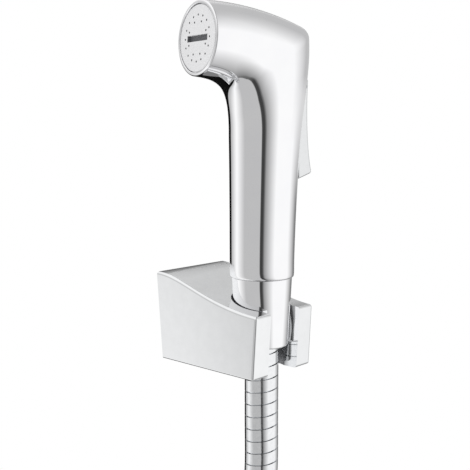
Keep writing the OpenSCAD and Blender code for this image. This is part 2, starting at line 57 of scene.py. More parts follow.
# The rows of a turn of the strip, as shares of the pitch: the groove's floor, its edge and the flat between
HOSE_ROWS = [0.0, 0.045, 0.075, 0.28, 0.5, 0.73, 0.97]
HOSE_LEAD = [(0, -5), (0, -20), (0, -40), (0, -62), (-2, -78), (-8, -92), (-17.5, -104.5), (-30, -114),
    (-36.5, -117.2), (-43, -120.5), (-55.5, -130), (-64.2, -142.5), (-70.4, -156), (-72.8, -167.3)]
COIL_R = 73.0
COIL_Z = -172.5
COIL_TURNS = 2
COIL_STEP = 15.2
TAIL_Z = -238.0

# Sizes shared by the body, the bracket, the lever and the spray plate
AXIS_Y = -40.0
BASE_Z = 19.25
HANDSET_TURN = 15.0
FACE_REACH, FACE_Z, FACE_TILT, FACE_R = 30.0, 94.3, 3.4, 14.4
RIM_STEP = 0.7
PLATE_R = 12.8
RIM_INNER_R = 13.0
SEAT_DEPTH = 3.1
PLATE_INSET = 0.25
PLATE_T = 2.2


# Helpers: colours, nodes and meshes
def colour(hex_value):
    """An sRGB hex value as the linear colour that a node's sockets take."""
    parts = [int(hex_value[i:i + 2], 16) / 255 for i in (1, 3, 5)]
    return tuple(p / 12.92 if p <= 0.04045 else ((p + 0.055) / 1.055) ** 2.4 for p in parts) + (1.0,)


def add(tree, kind, links=(), **settings):
    """Adds a node. Settings named after an input socket's place, such as in0, go to that socket,
    the others to the node itself. Each link is (output socket, input name or place)."""
    node = tree.nodes.new(kind)
    for name, value in settings.items():
        if name[:2] != "in" or not name[2:].isdigit():
            setattr(node, name, value)
    for name, value in settings.items():
        if name[:2] == "in" and name[2:].isdigit():
            node.inputs[int(name[2:])].default_value = value
    for source, target in links:
        tree.links.new(source, node.inputs[target])
    return node


def ramp(node, stops):
    """Fills a colour ramp with (place, hex colour) stops."""
    band = node.color_ramp
    while len(band.elements) > 1:
        band.elements.remove(band.elements[-1])
    band.elements[0].position = stops[0][0]
    band.elements[0].color = colour(stops[0][1])
    for place, shade in stops[1:]:
        band.elements.new(place).color = colour(shade)
    return node


def finish_material(name, base, metallic, roughness, pattern_mm, rough_spread, bump=0.0, tint=None,
        stretch=(1, 1, 1), **sockets):
    """A finish whose roughness, tone and, where asked, height vary with noise of a real grain size."""
    mat = bpy.data.materials.new(name)
    mat.use_nodes = True
    tree = mat.node_tree
    shader = tree.nodes["Principled BSDF"]
    shader.inputs["Metallic"].default_value = metallic
    for socket, value in sockets.items():
        shader.inputs[socket.replace("_", " ")].default_value = value
    coords = add(tree, "ShaderNodeTexCoord")
    grain = add(tree, "ShaderNodeMapping", [(coords.outputs["Object"], "Vector")])
    grain.inputs["Scale"].default_value = [s / (pattern_mm * MM) for s in stretch]
    noise = add(tree, "ShaderNodeTexNoise", [(grain.outputs["Vector"], "Vector")], in2=1.0, in3=3.0)
    spread = add(tree, "ShaderNodeMapRange", [(noise.outputs["Fac"], "Value")], in1=0.3, in2=0.7,
        in3=roughness - rough_spread, in4=roughness + rough_spread)
    tree.links.new(spread.outputs["Result"], shader.inputs["Roughness"])
    tones = ramp(add(tree, "ShaderNodeValToRGB", [(noise.outputs["Fac"], "Fac")]),
        [(0.3, tint or base), (0.7, base)])
    tree.links.new(tones.outputs["Color"], shader.inputs["Base Color"])
    if bump:
        height = add(tree, "ShaderNodeBump", [(noise.outputs["Fac"], "Height")], in0=1.0, in1=bump * MM)
        tree.links.new(height.outputs["Normal"], shader.inputs["Normal"])
    return mat


def new_object(name, mesh):
    obj = bpy.data.objects.new(name, mesh)
    bpy.context.scene.collection.objects.link(obj)
    return obj


def mesh_piece(name, points, faces, place=Matrix(), material=None):
    """A mesh object from points in mm in their own frame, set in place with its faces outwards."""
    mesh = bpy.data.meshes.new(name)
    mesh.from_pydata([place @ (Vector(p) * MM) for p in points], [], faces)
    work = bmesh.new()
    work.from_mesh(mesh)
    bmesh.ops.remove_doubles(work, verts=work.verts, dist=1e-7)
    bmesh.ops.recalc_face_normals(work, faces=work.faces)
    work.to_mesh(mesh)
    work.free()
    if material:
        mesh.materials.append(material)
    return new_object(name, mesh)


def ring_faces(rings, sides, close_ring=False):
    """The faces of a skin through rings of points, with a flat end at each side or closed on itself."""
    faces = []
    for k in range(rings if close_ring else rings - 1):
        for i in range(sides):
            j, n = (i + 1) % sides, (k + 1) % rings
            faces.append((k * sides + i, k * sides + j, n * sides + j, n * sides + i))
    if not close_ring:
        faces.append(tuple(range(sides)))
        faces.append(tuple((rings - 1) * sides + i for i in range(sides)))
    return faces


def skin(name, rings, place=Matrix(), material=None):
    return mesh_piece(name, [p for ring in rings for p in ring], ring_faces(len(rings), len(rings[0])),
        place, material)


def lathe(name, profile, place, material, sides=128):
    """Turns a closed profile of (radius, height) points about the place's Z axis."""
    rings = [[(r * math.cos(2 * math.pi * i / sides), r * math.sin(2 * math.pi * i / sides), z)
        for i in range(sides)] for r, z in profile]
    return mesh_piece(name, [p for ring in rings for p in ring], ring_faces(len(rings), sides, True),
        place, material)


def rounded(corners, steps=5):
    """A closed outline from (x, y, corner radius) points, with each corner a small arc."""
    outline = []
    for k, (x, y, r) in enumerate(corners):
        here = Vector((x, y))
        back = Vector(corners[k - 1][:2]) - here
        ahead = Vector(corners[(k + 1) % len(corners)][:2]) - here
        if r <= 0:
            outline.append(tuple(here))
            continue
        half = back.angle(ahead) / 2
        start = here + back.normalized() * r / math.tan(half)
        end = here + ahead.normalized() * r / math.tan(half)
        centre = here + (back.normalized() + ahead.normalized()).normalized() * r / math.sin(half)
        turn = (end - centre).angle_signed(start - centre)
        for s in range(steps + 1):
            arm = start - centre
            arm.rotate(Matrix.Rotation(turn * s / steps, 2))
            outline.append(tuple(centre + arm))
    return outline


def settle(obj):
    """Turns an object with modifiers into a plain mesh."""
    graph = bpy.context.evaluated_depsgraph_get()
    mesh = bpy.data.meshes.new_from_object(obj.evaluated_get(graph), depsgraph=graph)
    obj.modifiers.clear()
    old = obj.data
    obj.data = mesh
    if isinstance(old, bpy.types.Mesh):
        bpy.data.meshes.remove(old)
    return obj


def carve(obj, *cutters):
    """Cuts the cutters out of the object, then removes them."""
    for cutter in cutters:
        cut = obj.modifiers.new("cut", "BOOLEAN")
        cut.operation, cut.solver, cut.object = "DIFFERENCE", "EXACT", cutter
        settle(obj)
        bpy.data.objects.remove(cutter)
    return obj


def smooth(obj, angle=35.0):
    obj.data.polygons.foreach_set("use_smooth", [True] * len(obj.data.polygons))
    obj.data.set_sharp_from_angle(angle=math.radians(angle))
    return obj


def bevel(obj, width, segments=3, angle=35.0):
    """Rounds the object's edges that are sharper than the angle."""
    edge = obj.modifiers.new("edge", "BEVEL")
    edge.width, edge.segments, edge.limit_method = width * MM, segments, "ANGLE"
    edge.angle_limit = math.radians(angle)
    edge.use_clamp_overlap = True
    edge.miter_outer = "MITER_ARC"
    return settle(obj)


def block(name, low, high, place=Matrix()):
    corners = [(x, y, z) for x in (low[0], high[0]) for y in (low[1], high[1]) for z in (low[2], high[2])]
    faces = [(0, 1, 3, 2), (4, 6, 7, 5), (0, 4, 5, 1), (2, 3, 7, 6), (0, 2, 6, 4), (1, 5, 7, 3)]
    return mesh_piece(name, corners, faces, place)


def rod(name, low, high, r, place=Matrix(), top_r=None, sides=96):
    rings = [[(q * math.cos(2 * math.pi * i / sides), q * math.sin(2 * math.pi * i / sides), z)
        for i in range(sides)] for q, z in ((r, low), (r if top_r is None else top_r, high))]
    return skin(name, rings, place)


def bezier(a, b, c, d, t):
    a, b, c, d = (np.array(p, float) for p in (a, b, c, d))
    return (1 - t) ** 3 * a + 3 * (1 - t) ** 2 * t * b + 3 * (1 - t) * t * t * c + t ** 3 * d


def hermite(start, start_slope, end, end_slope, span, t):
    """A smooth value from start to end over the span, with the given slopes at its ends."""
    return ((2 * t ** 3 - 3 * t * t + 1) * start + (t ** 3 - 2 * t * t + t) * start_slope * span
        + (3 * t * t - 2 * t ** 3) * end + (t ** 3 - t * t) * end_slope * span)


AXIS = Matrix.Translation((0, AXIS_Y * MM, 0))
HANDSET = Matrix.Translation((0, AXIS_Y * MM, BASE_Z * MM)) @ Matrix.Rotation(
    math.radians(180 - HANDSET_TURN), 4, "Z")
FACE = HANDSET @ Matrix.Translation((FACE_REACH * MM, 0, FACE_Z * MM)) @ Matrix.Rotation(
    math.radians(90 - FACE_TILT), 4, "Y") @ Matrix.Translation((0, 0, RIM_STEP * MM))


# Materials
# Bright chromium plate over polished brass: a cool mirror, a little softer where the polish was lighter
CHROME = finish_material("bright_chromium_plate", "#FBFBFC", 1.0, 0.035, 9.0, 0.008, tint="#F8F8FA")
# Satin chromium plate on the lever: brushed before plating, so its shine is duller than the body's
SATIN_CHROME = finish_material("satin_chromium_plate", "#E8E9EA", 1.0, 0.16, 2.0, 0.02, tint="#E4E5E6")
# Chromium plate on a zinc casting: the same mirror, with the faint unevenness of a cast surface
CAST_CHROME = finish_material("chromium_plated_zinc_casting", "#F4F5F6", 1.0, 0.08, 4.0, 0.012,
    tint="#F0F1F2")
# Painted shade inside the bracket's socket: a dull light grey metal, darker than the chrome round it, standing in for
# the shade in that hollow
SOCKET_SHADE_METAL = finish_material("painted_shade_socket_wall", "#C4C5C8", 1.0, 0.5, 1.5, 0.05, tint="#B8B9BC")
# Chromium plate on rolled steel strip: a slightly softer mirror, drawn out along the strip
STRIP_CHROME = finish_material("chromium_plated_steel_strip", "#F6F7F8", 1.0, 0.11, 1.2, 0.03,
    tint="#ECEDEF")
# Injection-moulded white ABS: an even satin white with a shallow gloss
WHITE_ABS = finish_material("moulded_white_abs", "#EEEEEE", 0.0, 0.32, 0.6, 0.03, tint="#E9E9EA", IOR=1.53)
# Moulded acetal: an off-white, slightly waxy plastic
ACETAL = finish_material("moulded_acetal", "#DCDCD6", 0.0, 0.4, 0.8, 0.04, tint="#D4D4CD", IOR=1.48)
# EPDM rubber: a matt near-black with a fine mould grain
EPDM = finish_material("moulded_epdm_rubber", "#26272A", 0.0, 0.75, 0.25, 0.06, bump=0.01, tint="#1F2022",
    IOR=1.5)
# Turned brass: yellow metal with fine tool rings, drawn coarser than real so that they show
BRASS = finish_material("turned_brass", "#C9A45C", 1.0, 0.28, 0.5, 0.06, tint="#BC964E", stretch=(1, 1, 6))
# Stainless spring steel: drawn wire, grey and half bright
STEEL = finish_material("drawn_stainless_steel", "#A9ABAE", 1.0, 0.25, 0.4, 0.05, tint="#9C9EA1")
# Painted shade: a darker grey on the walls of the jets and on the slot's walls and floor, darker than the plate round
# them, standing in for the shade inside these holes
HOLE_SHADE_GREY = finish_material("painted_shade_in_jets_and_slot", "#67686B", 0.0, 0.45, 0.5, 0.05, tint="#5C5D60", IOR=1.41)
# Woven nylon strap: dark grey cloth with a fine weave
NYLON = finish_material("woven_nylon_strap", "#4A4B4F", 0.0, 0.85, 0.8, 0.05, bump=0.08, tint="#3A3B3F",
    IOR=1.53)


# Hand spray body
SIDES = 128
GRIP_STEPS = 40
BEND_STEPS = 160
FOOT = [(12.45, 0.0), (12.72, 0.05), (12.92, 0.2), (13.06, 0.46), (13.14, 0.85), (13.18, 1.5), (13.2, 3.0)]
GRIP_Z, GRIP_R = 6.0, 13.2
BEND_Z, BEND_R = 56.0, 14.5
BULGE = 1.94
RIM = [(FACE_R, 0.0), (14.37, 0.16), (14.28, 0.33), (14.13, 0.49), (13.93, 0.61), (13.7, 0.68), (13.47, 0.7),
    (13.26, 0.68), (13.1, 0.6), (13.02, 0.48), (RIM_INNER_R, 0.3), (RIM_INNER_R, RIM_STEP - SEAT_DEPTH)]
FRONT_FOOT, BACK_FOOT = (13.4, 57.0), (-15.78, 56.0)
KNEE_LOW, KNEE_HIGH = (-19.95, 97.92), (-16.48, 101.28)
KNEE_START, KNEE_END = 0.469, 0.536
tilt = math.radians(FACE_TILT)
face_in = (FACE_REACH + FACE_R * math.sin(tilt), FACE_Z - FACE_R * math.cos(tilt))
face_out = (FACE_REACH - FACE_R * math.sin(tilt), FACE_Z + FACE_R * math.cos(tilt))


def front_line(t):
    return bezier(FRONT_FOOT, (13.17, 77.1), (face_in[0] - 11.1, face_in[1] - 1.1), face_in, t)


def back_line(t):
    if t < KNEE_START:
        return bezier(BACK_FOOT, (-16.99, 70.0), (-20.94, 86.02), KNEE_LOW, t / KNEE_START)
    if t < KNEE_END:
        return bezier(KNEE_LOW, (-19.84, 99.24), (-18.46, 100.59), KNEE_HIGH,
            (t - KNEE_START) / (KNEE_END - KNEE_START))
    return bezier(KNEE_HIGH, (-5.34, 105.16), (face_out[0] - 18.7, face_out[1] + 0.35), face_out,
        (t - KNEE_END) / (1 - KNEE_END))


def body_ring(front, back, half_w):
    mid, arm = (np.array(front) + np.array(back)) / 2, (np.array(back) - np.array(front)) / 2
    return [(mid[0] + arm[0] * math.cos(a), half_w * math.sin(a), mid[1] + arm[1] * math.cos(a))
        for a in (2 * math.pi * i / SIDES for i in range(SIDES))]


def body_rings():
    rings = [body_ring((r, z), (-r, z), r) for r, z in FOOT]
    for k in range(GRIP_STEPS):
        t = k / GRIP_STEPS
        z_front = GRIP_Z + (FRONT_FOOT[1] - GRIP_Z) * t
        z_back = GRIP_Z + (BACK_FOOT[1] - GRIP_Z) * t
        front = hermite(GRIP_R, 0.0, FRONT_FOOT[0], 0.0143, FRONT_FOOT[1] - GRIP_Z, t)
        back = hermite(-GRIP_R, -0.02, BACK_FOOT[0], -0.0857, BACK_FOOT[1] - GRIP_Z, t)
        half = hermite(GRIP_R, 0.012, BEND_R, 0.04, BEND_Z - GRIP_Z, t)
        rings.append(body_ring((front, z_front), (back, z_back), half))
    for k in range(BEND_STEPS):
        t = k / (BEND_STEPS + 2)
        rings.append(body_ring(front_line(t), back_line(t), BEND_R + (FACE_R - BEND_R) * t + BULGE * t * (1 - t)))
    # The head's widest ring, the rounded rim forward of it, then down to the plate's seat
    centre = np.array([FACE_REACH, 0, FACE_Z])
    outward = (np.array(body_ring(face_in, face_out, FACE_R)) - centre) / FACE_R
    normal = np.array([math.cos(tilt), 0, math.sin(tilt)])
    for radius, height in RIM:
        rings.append([tuple(p) for p in centre + outward * radius + normal * height])
    return rings


body = skin("handset_shell", body_rings(), HANDSET, CHROME)
carve(body,
    rod("bore", -1, 79.6, 10.6, HANDSET),
    rod("neck", 79.5, FACE_Z, 6.2, HANDSET),
    rod("chamber", -34, -SEAT_DEPTH + 0.01, 8.5, FACE),
    block("window", (-45, -6.35, 38.8), (-8.5, 6.35, 81.2), HANDSET),
    rod("pin_hole", -8.9, 12, 1.3, HANDSET @ Matrix.Translation((-14.5 * MM, 0, 77 * MM))
        @ Matrix.Rotation(math.radians(90), 4, "X"), sides=32))
smooth(body)
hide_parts("handset_body")
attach(body, "root")


# Lever: a channel with rounded outer edges, its pin boss and the pad that meets the valve stem
LEVER_W, LEVER_WALL = 12.0, 1.8
LEVER_TIP, LEVER_TOP = (-21.1, 42.0), (-18.9, 80.3)
LEVER_FOOT, LEVER_EDGE_TOP = (-13.7, 39.4), (-12.0, 80.3)
STEM_Z, PIN_U, PIN_Z = 52.8, -14.5, 77.0
STEM_END = -14.2
back_curve = [tuple(bezier(LEVER_TOP, (-18.2, 68.3), (-18.5, 52.0), LEVER_TIP, k / 28)) for k in range(29)]


def side_prism(name, outline, width, place=HANDSET, material=None):
    """A prism of a side view given as (forward, up) points, as wide as asked."""
    n = len(outline)
    points = [(u, side * width / 2, z) for side in (-1, 1) for u, z in outline]
    faces = [tuple(range(n)), tuple(range(n, 2 * n))] + [
        (i, (i + 1) % n, n + (i + 1) % n, n + i) for i in range(n)]
    return mesh_piece(name, points, faces, place, material)


lever = side_prism("thumb_lever", back_curve + [LEVER_FOOT, LEVER_EDGE_TOP], LEVER_W, material=SATIN_CHROME)
bevel(lever, 1.1, 5, 40)
inner_back = [(u + LEVER_WALL + 0.3, z) for u, z in back_curve if LEVER_TIP[1] + LEVER_WALL < z < 73.7]
carve(lever, side_prism("channel", [(inner_back[0][0], 73.75)] + inner_back + [
    (LEVER_TIP[0] + LEVER_WALL + 1, LEVER_TIP[1] + LEVER_WALL), (0, LEVER_TIP[1] + LEVER_WALL), (0, 73.75)],
    LEVER_W - 2 * LEVER_WALL))
carve(lever, rod("pin_bore", -8, 8, 1.3, HANDSET @ Matrix.Translation((PIN_U * MM, 0, PIN_Z * MM))
    @ Matrix.Rotation(math.radians(90), 4, "X"), sides=32))
smooth(lever, 30)
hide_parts("trigger")
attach(lever, "lever")
pad = rod("lever_pad", LEVER_TOP[0] + 1.2, STEM_END - 0.2, 2.4, HANDSET @ Matrix.Translation((0, 0, STEM_Z * MM))
    @ Matrix.Rotation(math.radians(90), 4, "Y"), sides=40)
pad.data.materials.append(SATIN_CHROME)
smooth(pad)
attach(pad, "lever")


# Spray plate: a moulded disc with a rounded edge, two rings of jets and a coin slot
def tree_input(tree, name, kind, value):
    socket = tree.interface.new_socket(name, in_out="INPUT", socket_type=kind)
    if hasattr(socket, "default_value"):
        socket.default_value = value
    return socket.identifier


def jets_tree():
    """Cuts two rings of jets and a slot in a disc that faces +Z at the origin."""
    tree = bpy.data.node_groups.new("spray_jets", "GeometryNodeTree")
    tree.is_modifier = True
    tree_input(tree, "Plate", "NodeSocketGeometry", None)
    for name, kind, value in (("Outer jets", "NodeSocketInt", 16),
            ("Outer ring radius", "NodeSocketFloat", 8.8 * MM), ("Inner jets", "NodeSocketInt", 8),
            ("Inner ring radius", "NodeSocketFloat", 6.5 * MM),
            ("Jet diameter", "NodeSocketFloat", 0.8 * MM), ("Slot length", "NodeSocketFloat", 14.5 * MM),
            ("Slot width", "NodeSocketFloat", 2.4 * MM), ("Slot depth", "NodeSocketFloat", 1.3 * MM),
            ("Plate thickness", "NodeSocketFloat", PLATE_T * MM)):
        tree_input(tree, name, kind, value)
    tree.interface.new_socket("Plate", in_out="OUTPUT", socket_type="NodeSocketGeometry")
    given = add(tree, "NodeGroupInput").outputs
    radius = add(tree, "ShaderNodeMath", [(given["Jet diameter"], 0)], operation="DIVIDE", in1=2.0)
    depth = add(tree, "ShaderNodeMath", [(given["Plate thickness"], 0)], operation="MULTIPLY", in1=3.0)
    jet = add(tree, "GeometryNodeMeshCylinder", [(radius.outputs[0], "Radius"), (depth.outputs[0], "Depth")], in0=16)
    cutters = []
    for ring, start in (("Outer", 0.0), ("Inner", 0.5)):
        circle = add(tree, "GeometryNodeMeshCircle", [(given[ring + " jets"], "Vertices"),
            (given[ring + " ring radius"], "Radius")])
        step = add(tree, "ShaderNodeMath", [(given[ring + " jets"], 1)], operation="DIVIDE", in0=2 * math.pi * start)
        turn = add(tree, "ShaderNodeCombineXYZ", [(step.outputs[0], "Z")])
        placed = add(tree, "GeometryNodeTransform", [(circle.outputs[0], "Geometry"), (turn.outputs[0], "Rotation")])
        cutters.append(add(tree, "GeometryNodeInstanceOnPoints", [(placed.outputs[0], "Points"),
            (jet.outputs["Mesh"], "Instance")]).outputs[0])
    double = add(tree, "ShaderNodeMath", [(given["Slot depth"], 0)], operation="MULTIPLY", in1=2.0)
    size = add(tree, "ShaderNodeCombineXYZ", [(given["Slot width"], "X"), (given["Slot length"], "Y"),
        (double.outputs[0], "Z")])
    slot = add(tree, "GeometryNodeMeshCube", [(size.outputs[0], "Size")])
    joined = add(tree, "GeometryNodeJoinGeometry")
    for source in cutters + [slot.outputs["Mesh"]]:
        tree.links.new(source, joined.inputs[0])
    solid = add(tree, "GeometryNodeRealizeInstances", [(joined.outputs[0], 0)])
    cut = add(tree, "GeometryNodeMeshBoolean", [(given["Plate"], 0), (solid.outputs[0], 1)],
        operation="DIFFERENCE", solver="EXACT")
    plain = add(tree, "GeometryNodeRealizeInstances", [(cut.outputs[0], 0)])
    done = add(tree, "GeometryNodeSetMaterial", [(plain.outputs[0], "Geometry")])
    done.inputs["Material"].default_value = WHITE_ABS
    add(tree, "NodeGroupOutput", [(done.outputs[0], 0)])
    return tree


plate = lathe("spray_plate_disc", rounded([(0.001, -PLATE_T, 0), (PLATE_R, -PLATE_T, 0.2),
    (PLATE_R, 0, 0.45), (0.001, 0, 0)]), Matrix(), WHITE_ABS)
jets = plate.modifiers.new("jets", "NODES")
jets.node_group = jets_tree()
settle(plate)
# The faces inside the jets and the slot take the darker grey: painted shade in the holes
plate.data.materials.append(HOLE_SHADE_GREY)
for face in plate.data.polygons:
    if -PLATE_T + 0.05 < face.center.z / MM < -0.05 and math.hypot(face.center.x, face.center.y) < 11 * MM:
        face.material_index = 1
plate.data.transform(FACE @ Matrix.Translation((0, 0, -PLATE_INSET * MM)))
smooth(plate, 30)
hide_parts("spray_plate")
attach(plate, "root")


# Wall bracket: a tapered block with a scooped top, the open socket and the hose's slot
BRACKET_D, BRACKET_LEAN = 52.5, 1.6
SLOT_W, SOCKET_R, SOCKET_FLARE, SOCKET_FOOT_Z = 18.4, 11.0, 0.085, -9.3
SCOOP = ((0, 19.3), (-13.2, 19.3), (-26.9, 8.1), (-BRACKET_D, 6.4))
SCOOP_STEPS, EDGE_STEPS = 44, 6
TOP_EDGE_R, FOOT_EDGE_R, FRONT_EDGE_R, LEAST_EDGE_R = 1.2, 0.8, 1.2, 0.05


def bracket_ring(share, inset):
    """The bracket's outline at a share of its depth, drawn in by an inset, as rounded corners."""
    y, top = bezier(*SCOOP, share)
    reach = -y / BRACKET_D
    low = -18.6 - 0.8 * reach
    lean = BRACKET_LEAN * reach
    high_w, low_w = 21.2 - 3.0 * reach - inset, 18.2 + 0.25 * reach - inset
    foot_r, top_r = max(FOOT_EDGE_R - inset, LEAST_EDGE_R), max(TOP_EDGE_R - inset, LEAST_EDGE_R)
    outline = rounded([(-low_w, low + inset, foot_r), (low_w, low + inset, foot_r),
        (high_w, top - inset, top_r), (-high_w, top - inset, top_r)], EDGE_STEPS)
    return [(x, y + lean * (top - z) / (top - low), z) for x, z in outline]


shares = [k / SCOOP_STEPS * 0.985 for k in range(SCOOP_STEPS + 1)]
bracket_rings = [bracket_ring(share, 0.0) for share in shares]
# The front's rounded edge
for k in range(1, EDGE_STEPS + 1):
    a = math.pi / 2 * k / EDGE_STEPS
    bracket_rings.append([(x, y - FRONT_EDGE_R * math.sin(a), z)
        for x, y, z in bracket_ring(shares[-1], FRONT_EDGE_R * (1 - math.cos(a)))])
bracket = skin("bracket_casting", bracket_rings, Matrix(), CAST_CHROME)
carve(bracket,
    rod("socket", -20, 20, SOCKET_R + SOCKET_FLARE * (-20 - SOCKET_FOOT_Z), AXIS,
        SOCKET_R + SOCKET_FLARE * (20 - SOCKET_FOOT_Z), 128),
    block("hose_slot", (-SLOT_W / 2, -60, -25), (SLOT_W / 2, AXIS_Y, 25)),
    block("pocket", (-14.8, -13, -16.2), (14.8, 1, 13.0)))
carve(bracket, rod("lock_hole", -25, -14, 2.0, Matrix.Translation((0, -6.25 * MM, 0)), sides=40),
    block("tongue_groove", (-8.1, -5.1, 11), (8.1, -2.9, 14.7)))
# The socket's inner wall, the faces that look towards its axis, takes the dull grey metal: painted shade in the socket
bracket.data.materials.append(SOCKET_SHADE_METAL)
for face in bracket.data.polygons:
    arm = Vector((face.center.x, face.center.y - AXIS_Y * MM, 0))
    if arm.length < 13.2 * MM and face.normal.dot(arm.normalized()) < -0.9:
        face.material_index = 1
smooth(bracket, 40)
even = bracket.modifiers.new("even", "WEIGHTED_NORMAL")
even.keep_sharp = True
settle(bracket)
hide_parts("bracket_body")
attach(bracket, "root")


# Conical hose nut, with its rounded foot and the fine edge under the handle
NUT_FOOT_Z, NUT_TOP_Z, NUT_FLOOR_Z = -9.3, 19.1, 3.7
nut = lathe("conical_nut", rounded([(7.4, NUT_FOOT_Z, 0.3), (10.9, NUT_FOOT_Z, 1.0), (12.35, NUT_TOP_Z, 0.15),
    (10.45, NUT_TOP_Z, 0.2), (10.45, NUT_FLOOR_Z, 0), (7.4, NUT_FLOOR_Z, 0)]), AXIS, CHROME)
smooth(nut, 30)
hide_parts("cone_nut")
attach(nut, "root")


# Hose
def hose_path():
    """The hose's line in mm: down out of the nut, aside, round the coil and down to the supply nut."""
    route = [Vector((x, AXIS_Y, z)) for x, z in HOSE_LEAD]
    steps = 48
    for k in range(COIL_TURNS * steps + 1):
        a = math.pi + 2 * math.pi * k / steps
        route.append(Vector((COIL_R * math.cos(a), AXIS_Y - COIL_STEP * k / steps, COIL_Z + COIL_R * math.sin(a))))
    tail_y = AXIS_Y - COIL_TURNS * COIL_STEP
    route += [Vector((-COIL_R, tail_y, z)) for z in (-187, -204, -221, TAIL_Z)]
    return route


